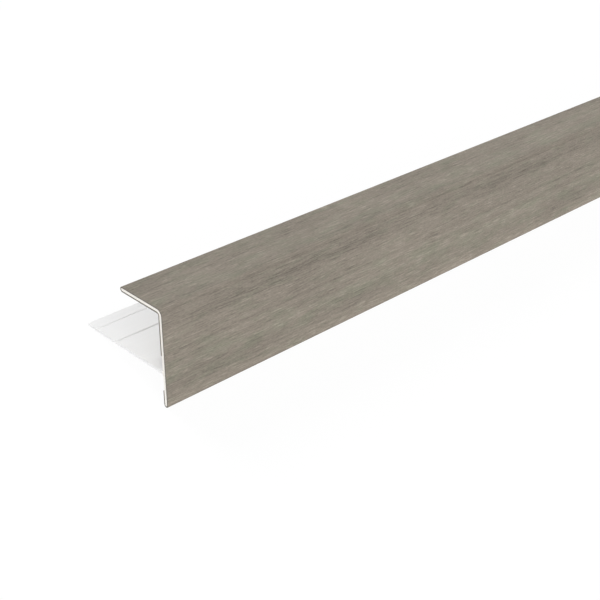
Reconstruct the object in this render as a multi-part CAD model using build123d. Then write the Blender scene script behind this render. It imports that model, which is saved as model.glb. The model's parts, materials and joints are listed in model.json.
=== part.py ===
from build123d import *
from math import asin, atan2, degrees, hypot
import os

# Cladding end trim: an extruded F-section whose visible legs are wrapped in a woodgrain film.
# Sizes are in mm. The section is drawn as it is fitted on a level base: Y runs from the front
# face (0) back to the flange, Z runs up from the foot (0), and the stock runs along X.
LENGTH = 3000.0
FACE_HEIGHT = 50.0
RETURN_WIDTH = 30.0
BEND_RADIUS = 3.5

# Walls
CORE_WALL = 1.3
FLANGE_WALL = 1.3
FILM_THICKNESS = 0.7

# Fixing flange, with its reach measured from the front face
FLANGE_REACH = 60.0
FLANGE_HEIGHT = 17.0
FLANGE_EDGE_RADIUS = 0.4
FLANGE_ROOT_FILLET = 1.0

# Grooves along the flange's top, measured in from its free edge
FIXING_GROOVE_INSET = 23.7
FIXING_GROOVE_WIDTH = 2.7
FIXING_GROOVE_DEPTH = 0.38
SCORE_GROOVE_INSET = 7.7
SCORE_GROOVE_WIDTH = 1.1
SCORE_GROOVE_DEPTH = 0.24
GROOVE_FLOOR_SHARE = 0.6

# Film's two cut edges on the inner side: above the foot, and above the flange's top
FILM_FOOT_RETURN = 9.0
FILM_BARE_STRIP = 7.8

wrapped_wall = CORE_WALL + 2 * FILM_THICKNESS
inset = wrapped_wall / 2
bare_face = FILM_THICKNESS + CORE_WALL
flange_top = FLANGE_HEIGHT + FLANGE_WALL


def groove(edge_inset, width, depth):
    """A flat-bottomed groove with sloping sides, cut into the flange's top."""
    floor = width * GROOVE_FLOOR_SHARE / 2
    mouth = width / 2
    outline = Polyline(
        (-mouth, depth), (-mouth, 0), (-floor, -depth), (floor, -depth), (mouth, 0), (mouth, depth), close=True
    )
    return Pos(FLANGE_REACH - edge_inset, flange_top) * make_face(outline)


def wall_middle():
    """The middle line of the return leg and the front leg, with its bend."""
    return FilletPolyline(
        (RETURN_WIDTH - inset, FACE_HEIGHT - inset),
        (inset, FACE_HEIGHT - inset),
        (inset, inset),
        radius=BEND_RADIUS - inset,
    )


def core_section():
    """White core: two legs with rounded rims, and the fixing flange behind the front leg."""
    flange = Pos(inset, FLANGE_HEIGHT) * Rectangle(
        FLANGE_REACH - inset, FLANGE_WALL, align=(Align.MIN, Align.MIN)
    )
    flange = fillet(flange.vertices().group_by(Axis.X)[-1], FLANGE_EDGE_RADIUS)
    section = SlotArc(wall_middle(), CORE_WALL) + flange
    roots = [
        corner
        for corner in section.vertices()
        if abs(corner.X - bare_face) < 1e-4 and FLANGE_HEIGHT - 1e-4 < corner.Y < flange_top + 1e-4
    ]
    section = fillet(roots, FLANGE_ROOT_FILLET)
    section -= groove(FIXING_GROOVE_INSET, FIXING_GROOVE_WIDTH, FIXING_GROOVE_DEPTH)
    section -= groove(SCORE_GROOVE_INSET, SCORE_GROOVE_WIDTH, SCORE_GROOVE_DEPTH)
    return section


def film_section():
    """Film: an even skin round both legs, open on the inner side where the flange joins on."""
    skin = SlotArc(wall_middle(), wrapped_wall) - SlotArc(wall_middle(), CORE_WALL)
    reach = 2 * FILM_THICKNESS
    upper_edge = flange_top + FILM_BARE_STRIP
    bevelled_window = Polyline(
        (bare_face, FILM_FOOT_RETURN),
        (bare_face + reach, FILM_FOOT_RETURN - reach),
        (bare_face + reach, upper_edge + reach),
        (bare_face, upper_edge),
        close=True,
    )
    return skin - make_face(bevelled_window)


def rest_angle():
    """Backward lean, in degrees, at which the foot's round and the flange's edge both touch the floor."""
    run = FLANGE_REACH - FLANGE_EDGE_RADIUS - inset
    rise = FLANGE_HEIGHT + FLANGE_EDGE_RADIUS - inset
    return degrees(atan2(rise, run) + asin((inset - FLANGE_EDGE_RADIUS) / hypot(run, rise)))


sections = {"pvc_profile": core_section(), "woodgrain_film": film_section()}
leaning = {
    name: Rot(-rest_angle(), 0, 0) * extrude(Plane.YZ * section, LENGTH / 2, both=True)
    for name, section in sections.items()
}

# Origin at the bottom centre of the whole, on the floor
box = Compound(list(leaning.values())).bounding_box()
at_rest = Pos(0, -box.center().Y, -box.min.Z)

os.makedirs("parts", exist_ok=True)
for name, solid in leaning.items():
    export_step(at_rest * solid, f"parts/{name}.step")
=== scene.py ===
import json
from math import atan2, cos, radians, sin

import bmesh
import bpy
from mathutils import Matrix, Vector

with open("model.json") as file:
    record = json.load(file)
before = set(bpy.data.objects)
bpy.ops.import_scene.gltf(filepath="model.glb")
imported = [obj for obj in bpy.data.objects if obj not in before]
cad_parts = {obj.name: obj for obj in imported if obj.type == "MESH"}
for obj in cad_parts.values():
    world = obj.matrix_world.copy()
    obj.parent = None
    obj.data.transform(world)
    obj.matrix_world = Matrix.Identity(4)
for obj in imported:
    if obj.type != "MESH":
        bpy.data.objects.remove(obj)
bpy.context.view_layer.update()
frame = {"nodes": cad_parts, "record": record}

MM = 0.001

# Camera, placed from the foot of the near cut end: along the stock, back to the flange, up the face
LENS_MM = 69.47
SENSOR_MM = 36.0
CAMERA_YAW = radians(43.06)
CAMERA_PITCH = radians(29.24)
CAMERA_PLACE_MM = (-246.3, -348.9, 292.0)

# Floor: its side in metres, its paper's colour, how much of what the eye sees of it is plain white and not
# lit paper, and how bright that white is: a little over 1, so that both add up to the backdrop's white
FLOOR_SIDE = 24.0
FLOOR_PAPER = "#FDFDFD"
FLOOR_GLOW = 0.94
FLOOR_WHITE = 1.015

# Light: the direction that each soft lamp shines from, its strength and its spread
WORLD_STRENGTH = 0.3
LAMPS = {
    "key_from_behind": ((-0.05, 0.80, 0.57), 1.85, radians(25)),
    "fill_from_the_front": ((-0.45, -0.79, 0.43), 2.1, radians(70)),
}

# Film's colours: the two grounds of its print, and its sawn edge
PRINT_BROWN = "#8E867B"
PRINT_KHAKI = "#898678"
FILM_SAWN = "#7D7870"

# Film's bands and lines: place round the section from the foot in mm, half width in mm, strength. The pale
# band at 50.5, on the fold, is a painted highlight along the bend; the others are print.
TONE_BANDS_AND_FOLD_HIGHLIGHT = (
    (3, 4, 0.14), (6.8, 1.3, 0.10), (18.5, 4, 0.08), (25.2, 2.4, 0.06), (27.6, 1.2, -0.07),
    # (50.5, 1.5, 0.05) is a painted highlight along the fold, not print
    (42, 1.0, -0.03), (42.5, 7.5, -0.11), (48.6, 1.2, -0.06), (50.5, 1.5, 0.05),
    (54.5, 2.5, -0.05), (60, 4, 0.03), (65.5, 2, 0.04), (68.5, 1.4, -0.04), (76, 8, -0.035),
)
KHAKI_BANDS = ((17, 13, 0.52), (57, 10, 0.45), (80, 20, 0.3))

# Film's bands stray from a straight line: length and width of the waves in mm, and reach in mm
BAND_DRIFT = (700.0, 60.0)
BAND_DRIFT_BY = 1.0

# Film's broad patches, darker and paler, and browner and more khaki: length and width in mm, strength
CLOUD = (60.0, 30.0)
CLOUD_BY = 0.08
KHAKI_PATCH = (18.0, 6.0)
KHAKI_PATCH_BY = 0.9

# Film's printed marks: length along the stock and width across it in mm, octaves, strength.
# The print's own fibres are about 0.2 mm wide, and are drawn wider here so that they show.
PRINT_MARKS = {
    "figure": (110.0, 9.0, 3, 0.035),
    "streak": (60.0, 1.8, 2, 0.06),
    "fibre": (14.0, 0.6, 1, 0.085),
    "dash": (4.0, 0.9, 0, 0.09),
    "grit": (1.5, 0.7, 0, 0.18),
    "hair": (9.0, 0.42, 0, 0.16),
}

# Film's scattered ticks, embossed pores and pale flecks: length and width in mm, strength, and how far the
# tone of bands and patches thickens them: pores crowd the dark parts, and flecks the pale ones.
# A tick fades in between the two noise levels.
TICKS = {"pore": (12.0, 0.6, -0.19, -1.6), "fleck": (7.0, 0.6, 0.24, 1.6)}
TICK_LEAST, TICK_MOST = 0.28, 0.48

# Film's emboss: its depth in mm, the tick strength at which it is full, and the roughness there
EMBOSS_DEPTH = 0.3
EMBOSS_FULL = 0.2
PORE_ROUGHNESS, FLECK_ROUGHNESS = 0.7, 0.56

# White PVC's colours, as extruded and where it is sawn between the film's two skins
PVC_WHITE = "#F5F5F5"
PVC_SAWN = "#FAF6EF"

# White PVC's roughness, as extruded and on its sawn ends
SKIN_ROUGHNESS, SAWN_ROUGHNESS = 0.55, 0.75

# White PVC's marks, length and width in mm: the die's lines along the stock, and the saw's on its ends.
# Then how far they change tone and roughness, and their depth in mm.
DIE_LINE = (900.0, 1.6)
SAW_MARK = (0.5, 3.0)
MARK_TONE = 0.015
MARK_ROUGHNESS = 0.08
MARK_DEPTH = 0.05

# Legs on the sawn end, in mm: the front leg's depth, and the return's underside above the foot
LEG_DEPTH = 2.7
RETURN_UNDERSIDE = 47.3

# Sockets of a Mix node, for numbers and for colours
NUMBER_A, NUMBER_B = 2, 3
COLOUR_A, COLOUR_B = 6, 7


def linear(colour):
    """An sRGB hex colour as linear RGBA."""
    channels = [int(colour[i:i + 2], 16) / 255 for i in (1, 3, 5)]
    return [c / 12.92 if c <= 0.04045 else ((c + 0.055) / 1.055) ** 2.4 for c in channels] + [1.0]


def add_node(tree, kind, inputs=(), **settings):
    """Adds a node with its settings. Each input is a node, one of its outputs, or a plain value."""
    node = tree.nodes.new(kind)
    for name, value in settings.items():
        setattr(node, name, value)
    for socket, value in dict(inputs).items():
        if isinstance(value, bpy.types.Node):
            value = next(output for output in value.outputs if output.enabled)
        if isinstance(value, bpy.types.NodeSocket):
            tree.links.new(value, node.inputs[socket])
        else:
            node.inputs[socket].default_value = value
    return node


# Section axes: the stock lies leaning back, so they are read from its mounts
mounts = {mount["name"]: mount for mount in frame["record"]["mounts"]}
ALONG = Vector((1, 0, 0))
UP = -Vector(mounts["flange_back"]["axis"])
BACK = Vector(mounts["board_channel"]["axis"])


def least(node, direction):
    """Where a node starts along a direction, in metres."""
    return min(vertex.co.dot(direction) for vertex in frame["nodes"][node].data.vertices)


near_foot = sum((axis * least("woodgrain_film", axis) for axis in (ALONG, BACK, UP)), Vector())


def in_section(place_mm):
    """A place given along, back and up from the near end's foot, as a point of the frame."""
    along, back, up = (value * MM for value in place_mm)
    return near_foot + ALONG * along + BACK * back + UP * up


def section_place(tree):
    """Along, back and up from the near end's foot in mm, for each point of a piece."""
    lean = atan2(-BACK.z, BACK.y)
    place = add_node(tree, "ShaderNodeTexCoord")
    upright = add_node(
        tree,
        "ShaderNodeMapping",
        {
            "Vector": place.outputs["Object"],
            "Scale": (1 / MM, 1 / MM, 1 / MM),
            "Rotation": (lean, 0, 0),
            "Location": -(Matrix.Rotation(lean, 3, "X") @ near_foot) / MM,
        },
    )
    return add_node(tree, "ShaderNodeSeparateXYZ", {0: upright}).outputs


def sawn_end(tree):
    """1 on the two sawn ends, which face along the stock, and 0 elsewhere."""
    place = add_node(tree, "ShaderNodeTexCoord")
    facing = add_node(tree, "ShaderNodeVectorMath", {0: place.outputs["Normal"]}, operation="ABSOLUTE")
    along = add_node(tree, "ShaderNodeSeparateXYZ", {0: facing})
    return add_node(tree, "ShaderNodeMath", {0: along, 1: 0.5}, operation="GREATER_THAN")


def grain(tree, along, across, length, width, seed, octaves=0):
    """Noise about 0, stretched to marks of a length and width in mm."""
    place = add_node(tree, "ShaderNodeCombineXYZ", {"X": along, "Y": across, "Z": seed})
    stretched = add_node(tree, "ShaderNodeMapping", {"Vector": place, "Scale": (1 / length, 1 / width, 1)})
    return add_node(
        tree,
        "ShaderNodeTexNoise",
        {"Vector": stretched, "Scale": 1.0, "Detail": octaves, "Roughness": 0.7},
        normalize=False,
    )


def bands(tree, across, rows):
    """Soft-edged bands along the stock, added up."""
    total = 0.0
    for place, half_width, strength in rows:
        beside = add_node(tree, "ShaderNodeMath", {0: across, 1: place}, operation="SUBTRACT")
        away = add_node(tree, "ShaderNodeMath", {0: beside}, operation="ABSOLUTE")
        band = add_node(
            tree,
            "ShaderNodeMapRange",
            {"Value": away, "From Max": half_width, "To Min": strength, "To Max": 0.0},
            interpolation_type="SMOOTHSTEP",
        )
        total = add_node(tree, "ShaderNodeMath", {0: band, 1: total}, operation="ADD")
    return total


def new_material(name):
    """A material with an empty node tree, and that tree."""
    material = bpy.data.materials.new(name)
    material.use_nodes = True
    tree = material.node_tree
    tree.nodes.clear()
    return material, tree


def woodgrain_film():
    """PVC film printed as weathered oak and embossed: satin grey-brown, with fine marks along the stock."""
    material, tree = new_material("pvc_film_printed_embossed")
    along, back, up = section_place(tree)
    # back plus up runs on evenly over the fold, so the print goes round it unbroken
    across = add_node(tree, "ShaderNodeMath", {0: back, 1: up}, operation="ADD")
    drift = grain(tree, along, across, *BAND_DRIFT, seed=20)
    drifting = add_node(
        tree, "ShaderNodeMath", {0: drift, 1: BAND_DRIFT_BY, 2: across}, operation="MULTIPLY_ADD"
    )

    cloud = grain(tree, along, across, *CLOUD, seed=44, octaves=3)
    # tone of the print's bands and clouds, with the painted highlight along the fold among the bands
    print_tone_and_fold_highlight = add_node(
        tree,
        "ShaderNodeMath",
        {0: cloud, 1: CLOUD_BY, 2: bands(tree, drifting, TONE_BANDS_AND_FOLD_HIGHLIGHT)},
        operation="MULTIPLY_ADD",
    )
    tone = add_node(tree, "ShaderNodeMath", {0: print_tone_and_fold_highlight, 1: 1.0}, operation="ADD")
    for seed, (length, width, octaves, strength) in enumerate(PRINT_MARKS.values()):
        marks = grain(tree, along, across, length, width, seed, octaves)
        tone = add_node(tree, "ShaderNodeMath", {0: marks, 1: strength, 2: tone}, operation="MULTIPLY_ADD")
    emboss = 0.0
    for seed, (length, width, strength, crowding) in enumerate(TICKS.values(), start=10):
        scatter = grain(tree, along, across, length, width, seed)
        crowded = add_node(
            tree, "ShaderNodeMath", {0: print_tone_and_fold_highlight, 1: crowding, 2: scatter}, operation="MULTIPLY_ADD"
        )
        ticks = add_node(
            tree,
            "ShaderNodeMapRange",
            {"Value": crowded, "From Min": TICK_LEAST, "From Max": TICK_MOST, "To Max": strength},
        )
        tone = add_node(tree, "ShaderNodeMath", {0: ticks, 1: tone}, operation="ADD")
        emboss = add_node(tree, "ShaderNodeMath", {0: ticks, 1: emboss}, operation="ADD")

    patch = grain(tree, along, across, *KHAKI_PATCH, seed=30, octaves=2)
    khaki = add_node(
        tree,
        "ShaderNodeMath",
        {0: patch, 1: KHAKI_PATCH_BY, 2: bands(tree, drifting, KHAKI_BANDS)},
        operation="MULTIPLY_ADD",
    )
    ground = add_node(
        tree,
        "ShaderNodeMix",
        {0: khaki, COLOUR_A: linear(PRINT_BROWN), COLOUR_B: linear(PRINT_KHAKI)},
        data_type="RGBA",
    )
    printed = add_node(tree, "ShaderNodeVectorMath", {0: ground, "Scale": tone}, operation="SCALE")
    colour = add_node(
        tree,
        "ShaderNodeMix",
        {0: sawn_end(tree), COLOUR_A: printed, COLOUR_B: linear(FILM_SAWN)},
        data_type="RGBA",
    )

    relief = add_node(
        tree, "ShaderNodeBump", {"Height": emboss, "Strength": 0.5, "Distance": EMBOSS_DEPTH * MM}
    )
    satin = add_node(
        tree,
        "ShaderNodeMapRange",
        {
            "Value": emboss,
            "From Min": -EMBOSS_FULL,
            "From Max": EMBOSS_FULL,
            "To Min": PORE_ROUGHNESS,
            "To Max": FLECK_ROUGHNESS,
        },
    )
    shader = add_node(
        tree,
        "ShaderNodeBsdfPrincipled",
        {
            "Base Color": colour,
            "Roughness": satin,
            "IOR": 1.5,
            "Specular IOR Level": 0.15,
            "Normal": relief,
        },
    )
    add_node(tree, "ShaderNodeOutputMaterial", {"Surface": shader})
    return material


def white_pvc():
    """Extruded rigid PVC: even satin white with faint lines from the die, duller where it is sawn."""
    material, tree = new_material("rigid_pvc_extruded_white")
    along, back, up = section_place(tree)
    across = add_node(tree, "ShaderNodeMath", {0: back, 1: up}, operation="ADD")
    die_lines = grain(tree, along, across, *DIE_LINE, seed=1, octaves=2)
    saw_marks = grain(tree, back, up, *SAW_MARK, seed=2, octaves=1)
    end = sawn_end(tree)
    marks = add_node(tree, "ShaderNodeMix", {0: end, NUMBER_A: die_lines, NUMBER_B: saw_marks})
    tone = add_node(tree, "ShaderNodeMath", {0: marks, 1: MARK_TONE, 2: 1.0}, operation="MULTIPLY_ADD")

    # on the sawn ends the core between the film's two skins is paler and warmer, and the flange's end is
    # left plain
    in_front_leg = add_node(tree, "ShaderNodeMath", {0: back, 1: LEG_DEPTH}, operation="LESS_THAN")
    in_return = add_node(tree, "ShaderNodeMath", {0: up, 1: RETURN_UNDERSIDE}, operation="GREATER_THAN")
    between_skins = add_node(tree, "ShaderNodeMath", {0: in_front_leg, 1: in_return}, operation="MAXIMUM")
    sawn_core = add_node(tree, "ShaderNodeMath", {0: between_skins, 1: end}, operation="MULTIPLY")
    ground = add_node(
        tree,
        "ShaderNodeMix",
        {0: sawn_core, COLOUR_A: linear(PVC_WHITE), COLOUR_B: linear(PVC_SAWN)},
        data_type="RGBA",
    )
    colour = add_node(tree, "ShaderNodeVectorMath", {0: ground, "Scale": tone}, operation="SCALE")

    satin = add_node(
        tree, "ShaderNodeMapRange", {"Value": end, "To Min": SKIN_ROUGHNESS, "To Max": SAWN_ROUGHNESS}
    )
    roughness = add_node(
        tree, "ShaderNodeMath", {0: marks, 1: MARK_ROUGHNESS, 2: satin}, operation="MULTIPLY_ADD"
    )
    relief = add_node(
        tree, "ShaderNodeBump", {"Height": marks, "Strength": 0.2, "Distance": MARK_DEPTH * MM}
    )
    shader = add_node(
        tree,
        "ShaderNodeBsdfPrincipled",
        {"Base Color": colour, "Roughness": roughness, "IOR": 1.53, "Normal": relief},
    )
    add_node(tree, "ShaderNodeOutputMaterial", {"Surface": shader})
    return material


def dress(node, material):
    """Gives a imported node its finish."""
    piece = frame["nodes"][node]
    piece.data.materials.clear()
    piece.data.materials.append(material)


def seen_directly(tree):
    """1 where the eye, a mirror or a clear thing looks, and 0 for the light that falls on the object."""
    path = add_node(tree, "ShaderNodeLightPath").outputs
    seen = path["Is Camera Ray"]
    for ray in ("Is Glossy Ray", "Is Transmission Ray"):
        seen = add_node(tree, "ShaderNodeMath", {0: seen, 1: path[ray]}, operation="MAXIMUM")
    return seen


def floor():
    """Plain white paper floor, which shows the object's shadow faintly."""
    material, tree = new_material("studio_floor_paper")
    paper = add_node(tree, "ShaderNodeBsdfDiffuse", {"Color": linear(FLOOR_PAPER)})
    white = add_node(tree, "ShaderNodeEmission", {"Color": linear("#FFFFFF"), "Strength": FLOOR_WHITE})
    glow = add_node(tree, "ShaderNodeMath", {0: seen_directly(tree), 1: FLOOR_GLOW}, operation="MULTIPLY")
    shown = add_node(tree, "ShaderNodeMixShader", {0: glow, 1: paper, 2: white})
    add_node(tree, "ShaderNodeOutputMaterial", {"Surface": shown})

    shape = bmesh.new()
    bmesh.ops.create_grid(shape, x_segments=1, y_segments=1, size=FLOOR_SIDE / 2)
    mesh = bpy.data.meshes.new("floor")
    shape.to_mesh(mesh)
    shape.free()
    mesh.materials.append(material)
    plane = bpy.data.objects.new("floor", mesh)
    bpy.context.scene.collection.objects.link(plane)


def studio_light():
    """Even light from all round and two broad soft lamps, before a white backdrop."""
    world = bpy.data.worlds.new("studio")
    world.use_nodes = True
    tree = world.node_tree
    tree.nodes.clear()
    white = linear("#FFFFFF")
    light = add_node(tree, "ShaderNodeBackground", {"Color": white, "Strength": WORLD_STRENGTH})
    backdrop = add_node(tree, "ShaderNodeBackground", {"Color": white, "Strength": 1.0})
    shown = add_node(tree, "ShaderNodeMixShader", {0: seen_directly(tree), 1: light, 2: backdrop})
    add_node(tree, "ShaderNodeOutputWorld", {"Surface": shown})
    bpy.context.scene.world = world

    for name, (shines_from, strength, softness) in LAMPS.items():
        sun = bpy.data.lights.new(name, "SUN")
        sun.energy = strength
        sun.angle = softness
        lamp = bpy.data.objects.new(name, sun)
        lamp.rotation_euler = Vector(shines_from).to_track_quat("Z", "Y").to_euler()
        bpy.context.scene.collection.objects.link(lamp)


def camera():
    """The photograph's view, solved from the section's straight edges."""
    level = ALONG * sin(CAMERA_YAW) + BACK * cos(CAMERA_YAW)
    forward = level * cos(CAMERA_PITCH) - UP * sin(CAMERA_PITCH)
    right = ALONG * cos(CAMERA_YAW) - BACK * sin(CAMERA_YAW)
    top = right.cross(forward)
    lens = bpy.data.cameras.new("camera")
    lens.sensor_width = SENSOR_MM
    lens.lens = LENS_MM
    eye = bpy.data.objects.new("camera", lens)
    eye.matrix_world = Matrix.LocRotScale(
        in_section(CAMERA_PLACE_MM), Matrix((right, top, -forward)).transposed(), None
    )
    bpy.context.scene.collection.objects.link(eye)
    bpy.context.scene.camera = eye


dress("woodgrain_film", woodgrain_film())
dress("pvc_profile", white_pvc())
floor()
studio_light()
camera()
bpy.context.scene.view_settings.view_transform = "Standard"
